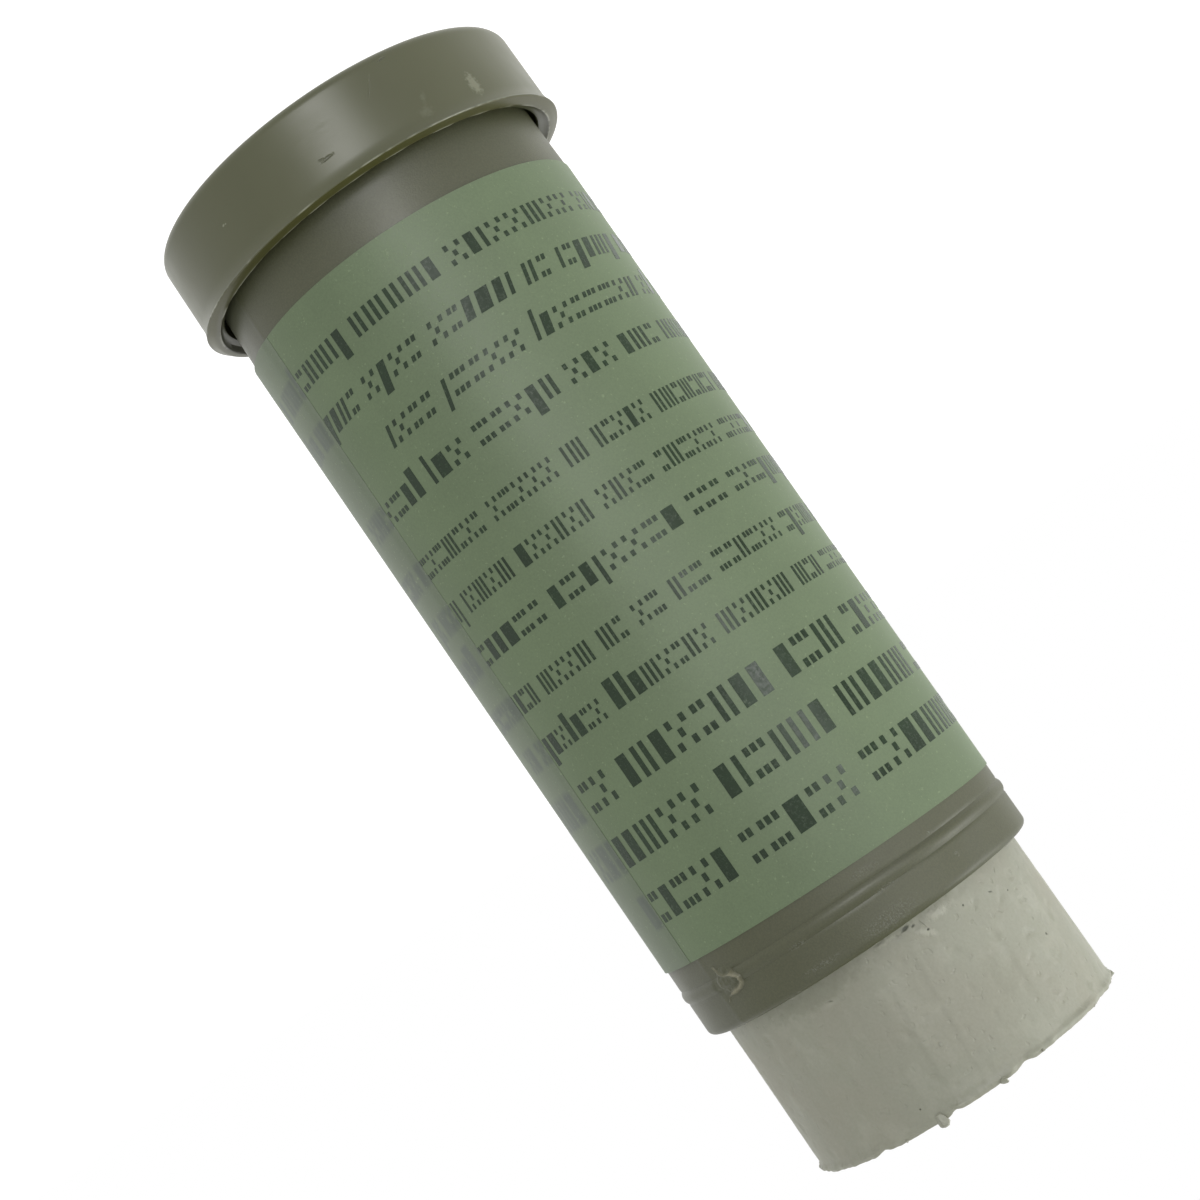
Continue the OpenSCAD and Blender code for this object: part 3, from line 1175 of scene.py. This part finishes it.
@dataclass
class LabelPrint:
    """Rows of generic print: blocks, bars, chequers and squares in word-like groups, with no lettering."""

    sheet: Sheet
    finish: PrintInk
    seed: int = 11
    first_angle: float = -178.0
    proud: float = 0.013
    sunk: float = 0.012
    upright_gap: float = 0.9
    cell_gap: float = 0.45
    cell_pitch: float = 1.4
    rows: tuple[PrintRow, ...] = (
        PrintRow(12.75, 1.45, 0.29),
        PrintRow(16.20, 1.45, 0.29, lean=14),
        PrintRow(19.60, 1.45, 0.29, lean=14, last_angle=-53),
        PrintRow(23.10, 1.45, 0.29, last_angle=-16),
        PrintRow(27.40, 1.45, 0.20, light=True),
        PrintRow(30.80, 1.45, 0.20, light=True, last_angle=-14),
        PrintRow(34.15, 1.45, 0.29),
        PrintRow(38.00, 1.45, 0.21, light=True),
        PrintRow(41.40, 1.45, 0.21, light=True, last_angle=-18),
        PrintRow(45.15, 2.15, 0.37),
        PrintRow(49.20, 2.15, 0.37),
        PrintRow(53.35, 2.15, 0.37, last_angle=-20),
    )

    def block(self, row: PrintRow, draw: random.Random, left: float) -> tuple[list[Bar], float]:
        """One block of a word, as a few separate bars.

        Args:
            row: The row that it stands in.
            draw: The random numbers.
            left: Where the block starts along the sheet.

        Returns:
            The bars, and the width of the block.
        """
        kind = draw.choices(list(Filling), weights=(2, 3, 3, 3) if row.light else (5, 2, 3, 3))[0]
        reach = 1.0
        if kind is Filling.SOLID and row.tall < 2:
            reach = draw.choices((1.0, 1.4, -0.4), weights=(5, 2, 1))[0]
        bottom = row.base + min(0.0, reach) * row.tall
        top = row.base + max(1.0, reach) * row.tall
        slope = math.tan(math.radians(row.lean))
        s = row.stroke
        if kind is Filling.SOLID:
            width = s * draw.choice((1.0, 2.2, 2.2, 3.2))
            middle = (top + bottom) / 2
            along = left + width / 2 + slope * (middle - row.base)
            return [Bar(along, middle, width, top - bottom, row.lean)], width
        levels = 1 if kind is Filling.UPRIGHT else 3
        across = draw.choice((2, 3)) if kind is not Filling.CHEQUER else 3
        gap = self.upright_gap if kind is Filling.UPRIGHT else self.cell_gap
        pitch = (1.0 + gap) * s
        width = across * pitch - gap * s
        tall = row.tall / (self.cell_pitch * levels - 0.4)
        bars = []
        for i in range(across):
            for k in range(levels):
                if kind is Filling.CHEQUER and (i + k) % 2:
                    continue
                if kind is Filling.SQUARES and k == 1:
                    continue
                z = row.base + tall * (0.5 + self.cell_pitch * k)
                place = left + pitch * i + s / 2 + slope * (z - row.base)
                bars.append(Bar(place, z, s, tall, row.lean))
        return bars, width

    def row_end(self, row: PrintRow) -> float:
        """Where a row ends along the sheet.

        Args:
            row: The row.

        Returns:
            The distance, on the sheet's inner turn, or past the seam on its outer end.
        """
        end = self.sheet.along(row.last_angle)
        if row.last_angle < self.sheet.seam_angle:
            return end
        return end + FULL_TURN * self.sheet.middle

    def bars(self) -> list[Bar]:
        """All the bars of the print, in the order in which they are drawn.

        Returns:
            The bars.
        """
        draw = random.Random(self.seed)
        found = []
        for row in self.rows:
            left = self.sheet.along(self.first_angle)
            end = self.row_end(row)
            while left < end:
                for _ in range(draw.choice((2, 3, 4, 5, 6, 8))):
                    bars, width = self.block(row, draw, left)
                    if left + width > end:
                        break
                    found += bars
                    left += width + 1.3 * row.stroke
                left += 0.42 * row.tall
        return found

    def build(self) -> bpy.types.Object:
        """Build the print's piece: every bar a thin slab that lies in the label's face.

        Returns:
            The piece.
        """
        bm = bmesh.new()
        hidden = FULL_TURN * self.sheet.middle
        for bar in self.bars():
            if bar.along - bar.width / 2 > hidden + self.sheet.edge(bar.height) + 0.35:
                continue
            segments = 2 if bar.width > 0.5 else 1
            flat = bmesh.ops.create_grid(bm, x_segments=segments, y_segments=1, size=0.5)["verts"]
            slope = math.tan(math.radians(bar.lean))
            for v in flat:
                z = v.co.y * bar.tall
                v.co = Vector((bar.along + v.co.x * bar.width + slope * z, bar.height + z, 0.0))
        bmesh.ops.solidify(bm, geom=bm.faces[:], thickness=self.proud + self.sunk)
        low = min(v.co.z for v in bm.verts)
        for v in bm.verts:
            proud = self.sheet.thickness - self.sunk + v.co.z - low
            v.co = self.sheet.place(v.co.x, v.co.y, proud)
        bmesh.ops.recalc_face_normals(bm, faces=bm.faces[:])
        piece = finished(bm, "label_print", sharp=30.0)
        return fitted(piece, "barrel", self.finish.material())


@dataclass
class WrappedLabel:
    """Printed film wrapped round the barrel, with sloping edges and its outer end lapped over its start."""

    sheet: Sheet
    finish: PrintedFilm
    under_print: list[Bar] = field(default_factory=list)
    columns: int = 176
    rows: int = 200
    lap_share: float = 0.30
    blur: float = 0.14

    def ghost(self, angle: float, height: float) -> float:
        """How strongly the print under the lap shows at a place, from 0 to 1.

        Args:
            angle: Angle round the axis.
            height: Height up the axis.

        Returns:
            The strength.
        """
        best = 0.0
        for bar in self.under_print:
            if abs(height - bar.height) > bar.tall / 2 + 0.8:
                continue
            off = math.radians(turn_between(angle, self.sheet.angle(bar.along))) * self.sheet.middle
            x = max(0.0, abs(off) - bar.width / 2) / self.blur
            y = max(0.0, abs(height - bar.height) - bar.tall / 2) / self.blur
            best = max(best, math.exp(-x * x - y * y))
        return best

    def build(self) -> bpy.types.Object:
        """Build the label's piece.

        Returns:
            The piece.
        """
        sheet = self.sheet
        bm = bmesh.new()
        lap = bm.verts.layers.float.new("lap")
        ghost = bm.verts.layers.float.new("ghost")
        bmesh.ops.create_grid(bm, x_segments=self.columns, y_segments=self.rows, size=0.5)
        for v in bm.verts:
            share = v.co.x + 0.5
            dense = sheet.lap + sheet.ramp
            if share < self.lap_share:
                along = share / self.lap_share * dense
            else:
                along = dense + (share - self.lap_share) / (1 - self.lap_share) * (sheet.length - dense)
            rough_z = sheet.start_height + (v.co.y + 0.5) * (sheet.end_height - sheet.start_height)
            along += sheet.edge(rough_z) * smooth(sheet.lap, 0.0, along)
            x = sheet.middle * math.cos(math.radians(sheet.angle(along)))
            low = sheet.start_height - math.tan(math.radians(sheet.start_tilt)) * x
            high = sheet.end_height - math.tan(math.radians(sheet.end_tilt)) * x
            height = low + (v.co.y + 0.5) * (high - low)
            past = along - sheet.edge(height)
            v[lap] = smooth(sheet.lap + 0.6, sheet.lap - 1.4, past) if past < sheet.lap + 1 else 0.0
            if past < sheet.lap and self.under_print:
                patchy = 0.75 + 0.25 * waves(Vector((along, height, 0.0)), 0.6, 1.0)
                v[ghost] = self.ghost(sheet.angle(along), height) * patchy
            ripple = 0.004 * waves(Vector((along, height, 0.0)), 4.0, 2.0)
            v.co = sheet.place(along, height, max(0.0, ripple))
        faces = bm.faces[:]
        bmesh.ops.recalc_face_normals(bm, faces=faces)
        face_out(bm, faces)
        bmesh.ops.solidify(bm, geom=faces, thickness=-sheet.thickness)
        bmesh.ops.recalc_face_normals(bm, faces=bm.faces[:])
        piece = finished(bm, "wrapped_label")
        return fitted(piece, "barrel", self.finish.material(), "label")


@dataclass
class PaintBillet:
    """Billet of waxy paint, pushed out of the mouth, with a worn end that has spread and crumbled."""

    finish: WaxPaint
    radius: float = 11.38
    foot_height: float = 13.6
    mouth_height: float = 63.6
    end_height: float = 74.9
    flare_out: float = 0.25
    flare_length: float = 1.0
    steps: int = 384
    crumbs: tuple[tuple[float, float], ...] = (
        (-75.2, 0.86), (-98.0, 0.54), (-176.0, 0.50), (12.0, 0.55), (96.0, 0.45), (141.0, 0.42),
        (-61.5, 0.20), (-113.9, 0.22), (-141.0, 0.24), (55.0, 0.3),
    )
    nicks: tuple[tuple[float, float], ...] = (
        (-107.0, 0.5), (-52.0, 0.4), (58.0, 0.9), (165.0, 0.8), (-80.5, 0.35),
    )
    nick_depth: float = 0.22
    ridges: tuple[tuple[float, float, float, float, float], ...] = (
        (-85.8, 66.5, -83.0, 72.3, 0.030),
        (-98.0, 65.0, -94.0, 73.8, 0.026),
        (-126.0, 66.3, -124.0, 72.8, 0.020),
        (-60.0, 67.3, -61.5, 73.3, 0.020),
    )

    def corners(self) -> list[Corner]:
        """Half section from the middle of the hidden end, up the side, to the middle of the worn end.

        Returns:
            The corners, in order.
        """
        return [
            Corner(0.0, self.foot_height, step=1.5),
            Corner(self.radius, self.foot_height, 0.3),
            Corner(self.radius, self.foot_height + 0.6, step=1.6),
            Corner(self.radius, self.mouth_height - 1.0, step=0.13),
            Corner(self.radius, self.end_height - 0.25, step=0.08),
            Corner(self.radius - 0.12, self.end_height, step=0.16),
            Corner(self.radius - 1.3, self.end_height, step=0.35),
            Corner(self.radius - 4.0, self.end_height, step=0.7),
            Corner(0.0, self.end_height),
        ]

    def side(self, point: Vector, angle: float) -> float:
        """How far the side is moved out at a point: drag ridges, waves and the spread end.

        Args:
            point: The point on the smooth side.
            angle: Its angle round the axis.

        Returns:
            The distance.
        """
        z = point.z
        move = 0.030 * waves(Vector((point.x, point.y, z * 0.25)), 2.4, 1.0)
        move += 0.018 * waves(point, 0.9, 2.0) + 0.008 * waves(point, 0.3, 3.0)
        for a0, z0, a1, z1, size in self.ridges:
            t = (z - z0) / (z1 - z0)
            if -0.1 < t < 1.1:
                off = math.radians(turn_between(angle, a0 + (a1 - a0) * t)) * self.radius
                ends = smooth(-0.1, 0.1, t) * smooth(1.1, 0.9, t)
                move += size * ends * (hump(off, 0.16) - 0.8 * hump(off - 0.35, 0.25))
        move -= 0.05 * smooth(0.25, 0.6, waves(point, 0.7, 7.0))
        ring = on_axis(self.radius, angle, 0.0)
        spread = clamp(0.55 + 0.8 * waves(ring, 2.2, 4.0) + 0.5 * waves(ring, 0.5, 6.0), 0.05, 1.25)
        start = self.end_height - self.flare_length * (0.8 + 0.5 * waves(ring, 1.5, 8.0))
        move += self.flare_out * spread * smooth(start, self.end_height - 0.2, z) ** 2
        return move

    def shape(self, bm: bmesh.types.BMesh) -> None:
        """Give the part that stands out of the mouth its worn surface and its ragged edge.

        Args:
            bm: The billet's mesh.
        """
        for v in bm.verts:
            if v.co.z < self.mouth_height - 1.0:
                continue
            radius = math.hypot(v.co.x, v.co.y)
            angle = math.degrees(math.atan2(v.co.y, v.co.x))
            rise = smooth(self.mouth_height - 1.0, self.mouth_height + 0.6, v.co.z)
            side = smooth(self.radius - 1.2, self.radius - 0.1, radius)
            move = self.side(v.co.copy(), angle) * rise * side
            if v.co.z < self.mouth_height + 0.3:
                move = min(move, 0.04)
            ring = on_axis(self.radius, angle, 0.0)
            end = smooth(self.end_height - 0.9, self.end_height - 0.1, v.co.z)
            drop = 0.05 * waves(ring, 1.6, 12.0) + 0.02 * waves(ring, 0.35, 13.0)
            for a, width in self.nicks:
                off = math.radians(turn_between(angle, a)) * self.radius
                drop -= self.nick_depth * hump(off, width) * side
            inner = 0.12 * waves(v.co, 2.6, 15.0) + 0.05 * waves(v.co, 0.8, 16.0) - 0.10
            v.co.z += end * (drop * side + inner * (1 - side))
            push = on_axis(move, angle, 0.0)
            v.co.x += push.x
            v.co.y += push.y

    def add_crumbs(self, bm: bmesh.types.BMesh) -> None:
        """Add the crumbs that cling to the worn edge, each a small lump pressed into it.

        Args:
            bm: The billet's mesh.
        """
        for index, (angle, size) in enumerate(self.crumbs):
            lump = bmesh.ops.create_icosphere(bm, subdivisions=4, radius=size / 2)["verts"]
            draw = random.Random(index)
            cuts = [Vector([draw.uniform(-1.0, 1.0) for _ in range(3)]).normalized() for _ in range(9)]
            centre = on_axis(self.radius + 0.14 - size * 0.15, angle, self.end_height - 0.06)
            for v in lump:
                place = v.co / size
                for cut in cuts:
                    over = place.dot(cut) - 0.30
                    if over > 0:
                        place = place - cut * over
                seed = Vector((index * 3.7, 0.0, 0.0))
                grown = 1.0 + 0.10 * waves(place + seed, 0.25, 1.0) + 0.05 * waves(place + seed, 0.08, 2.0)
                place = place * grown
                v.co = place * size * 1.12 + centre
                v.co.z = min(v.co.z, self.end_height + 0.40)

    def build(self) -> bpy.types.Object:
        """Build the paint's piece.

        Returns:
            The piece.
        """
        bm = turned(self.corners(), self.steps)
        self.shape(bm)
        self.add_crumbs(bm)
        piece = finished(bm, "paint_billet", sharp=60.0)
        return fitted(piece, "paint", self.finish.material(), "paint_stick")


# Studio


@dataclass(frozen=True)
class AreaLamp:
    """A rectangular lamp: its place, what it faces, its size and the radiance of its face.

    A lamp for glare only lights mirrored and passed-through light, and no diffuse light.
    """

    name: str
    place: Colour
    target: Colour
    width: float
    height: float
    radiance: float
    glare_only: bool = False

    def build(self) -> None:
        """Add the lamp, which the camera itself doesn't see."""
        lamp = bpy.data.lights.new(self.name, "AREA")
        lamp.shape = "RECTANGLE"
        lamp.size = self.width
        lamp.size_y = self.height
        lamp.energy = self.radiance * math.pi * self.width * self.height
        holder = bpy.data.objects.new(self.name, lamp)
        aim = (Vector(self.target) - Vector(self.place)).to_track_quat("-Z", "Y").to_matrix().to_4x4()
        holder.matrix_world = Matrix.Translation(self.place) @ aim
        holder.visible_camera = False
        holder.visible_diffuse = not self.glare_only
        bpy.context.scene.collection.objects.link(holder)


@dataclass(frozen=True)
class StripLamp:
    """A long lamp between two points, whose glare runs along the front of the stick."""

    name: str
    low: Colour
    high: Colour
    width: float
    radiance: float

    def build(self) -> None:
        """Add the lamp, facing the axis. It gives glare only, and the camera doesn't see it."""
        low = Vector(self.low)
        high = Vector(self.high)
        middle = (low + high) / 2
        along = (high - low).normalized()
        facing = middle - Vector((0.0, 0.0, 0.035))
        facing = (facing - along * facing.dot(along)).normalized()
        across = along.cross(facing)
        lamp = bpy.data.lights.new(self.name, "AREA")
        lamp.shape = "RECTANGLE"
        lamp.size = self.width
        lamp.size_y = (high - low).length
        lamp.energy = self.radiance * math.pi * lamp.size * lamp.size_y
        holder = bpy.data.objects.new(self.name, lamp)
        turn = Matrix((across, along, facing)).transposed().to_4x4()
        holder.matrix_world = Matrix.Translation(middle) @ turn
        holder.visible_camera = False
        holder.visible_diffuse = False
        bpy.context.scene.collection.objects.link(holder)


@dataclass
class Studio:
    """White surroundings, a pale floor that lets light through, soft lamps and the camera."""

    surround: float = 0.74
    brighter_side: Colour = (0.0, 0.0, -0.28)
    floor_glow: float = 0.80
    floor_width: float = 6.0
    floor_height: float = -0.0125
    camera_place: Colour = (0.0, -0.1525, 0.0501)
    yaw: float = 2.284
    pitch: float = -4.192
    roll: float = 145.485
    lens: float = 68.147
    shift_x: float = 0.0146
    shift_y: float = 0.0625
    lamps: tuple[Union[AreaLamp, StripLamp], ...] = (
        AreaLamp("softbox", (-0.32, -0.38, -0.18), (0.0, 0.0, 0.035), 0.30, 0.34, 2.3),
        AreaLamp("fill", (0.30, -0.55, 0.30), (0.0, 0.0, 0.04), 0.40, 0.40, 0.35),
        AreaLamp("side", (-0.16, -0.02, 0.15), (0.0, 0.0, 0.07), 0.12, 0.12, 3.8),
        AreaLamp("cap_light", (-0.045, -0.486, -0.157), (0.0, 0.0, 0.003), 0.16, 0.11, 17.0, glare_only=True),
        StripLamp("low_strip", (-0.02, -0.49, -0.13), (-0.169, -0.48, -0.029), 0.07, 8.0),
        StripLamp("high_strip", (-0.169, -0.48, -0.029), (-0.405, -0.305, 0.129), 0.055, 8.0),
    )

    def white_or(self, tree: bpy.types.NodeTree, diffuse: Number) -> Socket:
        """A number that is 1 for the camera and for mirrored and passed-through light, else `diffuse`.

        Args:
            tree: The nodes to add to.
            diffuse: The number for all other light.

        Returns:
            The number.
        """
        path = tree.nodes.new("ShaderNodeLightPath")
        total = None
        for name in ("Is Camera Ray", "Is Glossy Ray", "Is Transmission Ray"):
            if total is None:
                total = path.outputs[name]
                continue
            larger = tree.nodes.new("ShaderNodeMath")
            larger.operation = "MAXIMUM"
            tree.links.new(total, larger.inputs[0])
            tree.links.new(path.outputs[name], larger.inputs[1])
            total = larger.outputs[0]
        result = tree.nodes.new("ShaderNodeMapRange")
        if isinstance(diffuse, bpy.types.NodeSocket):
            tree.links.new(diffuse, result.inputs["To Min"])
        else:
            result.inputs["To Min"].default_value = diffuse
        result.inputs["To Max"].default_value = 1.0
        tree.links.new(total, result.inputs["Value"])
        return result.outputs["Result"]

    def build_world(self) -> None:
        """Make the world: white where it is seen or mirrored, and softer as a light."""
        world = bpy.data.worlds.new("white_surround")
        world.use_nodes = True
        tree = world.node_tree
        background = tree.nodes["Background"]
        background.inputs["Color"].default_value = (1.0, 1.0, 1.0, 1.0)
        direction = tree.nodes.new("ShaderNodeTexCoord")
        side = tree.nodes.new("ShaderNodeVectorMath")
        side.operation = "DOT_PRODUCT"
        side.inputs[1].default_value = self.brighter_side
        tree.links.new(direction.outputs["Generated"], side.inputs[0])
        soft = tree.nodes.new("ShaderNodeMath")
        soft.inputs[1].default_value = self.surround
        tree.links.new(side.outputs["Value"], soft.inputs[0])
        tree.links.new(self.white_or(tree, soft.outputs[0]), background.inputs["Strength"])
        bpy.context.scene.world = world

    def build_floor(self) -> None:
        """Make the floor: white to the camera, with the stick's faint shadow, and lit through from below.

        It lies low enough for the cap to stay in sight when it is pulled off.
        """
        bm = bmesh.new()
        lower = Matrix.Translation((0.0, 0.0, self.floor_height))
        bmesh.ops.create_grid(bm, x_segments=4, y_segments=4, size=self.floor_width / 2, matrix=lower)
        mesh = bpy.data.meshes.new("floor")
        bm.to_mesh(mesh)
        bm.free()
        floor = bpy.data.objects.new("floor", mesh)
        bpy.context.scene.collection.objects.link(floor)
        material = bpy.data.materials.new("floor_white")
        material.use_nodes = True
        tree = material.node_tree
        tree.nodes.clear()
        matt = tree.nodes.new("ShaderNodeBsdfDiffuse")
        matt.inputs["Color"].default_value = (0.62, 0.62, 0.62, 1.0)
        glow = tree.nodes.new("ShaderNodeEmission")
        seen = self.white_or(tree, 0.0)
        strength = tree.nodes.new("ShaderNodeMath")
        strength.operation = "MULTIPLY"
        strength.inputs[1].default_value = self.floor_glow
        tree.links.new(seen, strength.inputs[0])
        tree.links.new(strength.outputs[0], glow.inputs["Strength"])
        both = tree.nodes.new("ShaderNodeAddShader")
        output = tree.nodes.new("ShaderNodeOutputMaterial")
        tree.links.new(matt.outputs[0], both.inputs[0])
        tree.links.new(glow.outputs[0], both.inputs[1])
        tree.links.new(both.outputs[0], output.inputs["Surface"])
        floor.data.materials.append(material)
        floor.visible_shadow = False

    def build_camera(self) -> None:
        """Add the camera at the photograph's place and angle."""
        yaw = math.radians(self.yaw)
        pitch = math.radians(self.pitch)
        roll = math.radians(self.roll)
        forward = Vector((math.sin(yaw) * math.cos(pitch), math.cos(yaw) * math.cos(pitch), math.sin(pitch)))
        level = forward.cross(Vector((0.0, 0.0, 1.0))).normalized()
        upright = level.cross(forward)
        right = level * math.cos(roll) + upright * math.sin(roll)
        up = right.cross(forward)
        data = bpy.data.cameras.new("camera")
        data.lens = self.lens
        data.sensor_width = 36.0
        data.sensor_fit = "HORIZONTAL"
        data.shift_x = self.shift_x
        data.shift_y = self.shift_y
        data.clip_start = 0.005
        camera = bpy.data.objects.new("camera", data)
        turn = Matrix((right, up, -forward)).transposed().to_4x4()
        camera.matrix_world = Matrix.Translation(self.camera_place) @ turn
        bpy.context.scene.collection.objects.link(camera)
        bpy.context.scene.camera = camera

    def build(self) -> None:
        """Build the studio round the stick."""
        self.build_camera()
        self.build_world()
        self.build_floor()
        for lamp in self.lamps:
            lamp.build()
        bpy.context.scene.view_settings.view_transform = "Standard"


def build_stick() -> list[bpy.types.Object]:
    """Build every piece of the stick in order and report each one.

    Returns:
        The pieces.
    """
    sheet = Sheet()
    printing = LabelPrint(sheet, PrintInk())
    turn = FULL_TURN * sheet.middle
    under = [bar for bar in printing.bars() if bar.along > turn - 0.2]
    makers: list[Callable[[], bpy.types.Object]] = [
        PushOnCap(CapPlastic()).build,
        MouldedTube(TubePlastic()).build,
        WrappedLabel(sheet, PrintedFilm(), under).build,
        printing.build,
        PaintBillet(WaxPaint()).build,
    ]
    pieces = []
    for make in makers:
        piece = make()
        mesh = piece.data
        mesh.calc_loop_triangles()
        log.info("%s: %d triangles", piece.name, len(mesh.loop_triangles))
        pieces.append(piece)
    return pieces


def main() -> None:
    """Load the solids, build the studio and the pieces, and log each piece's triangle count."""
    logging.basicConfig(level=logging.INFO, format="%(name)s: %(message)s")
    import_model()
    Studio().build()
    build_stick()


if __name__ == "__main__":
    main()
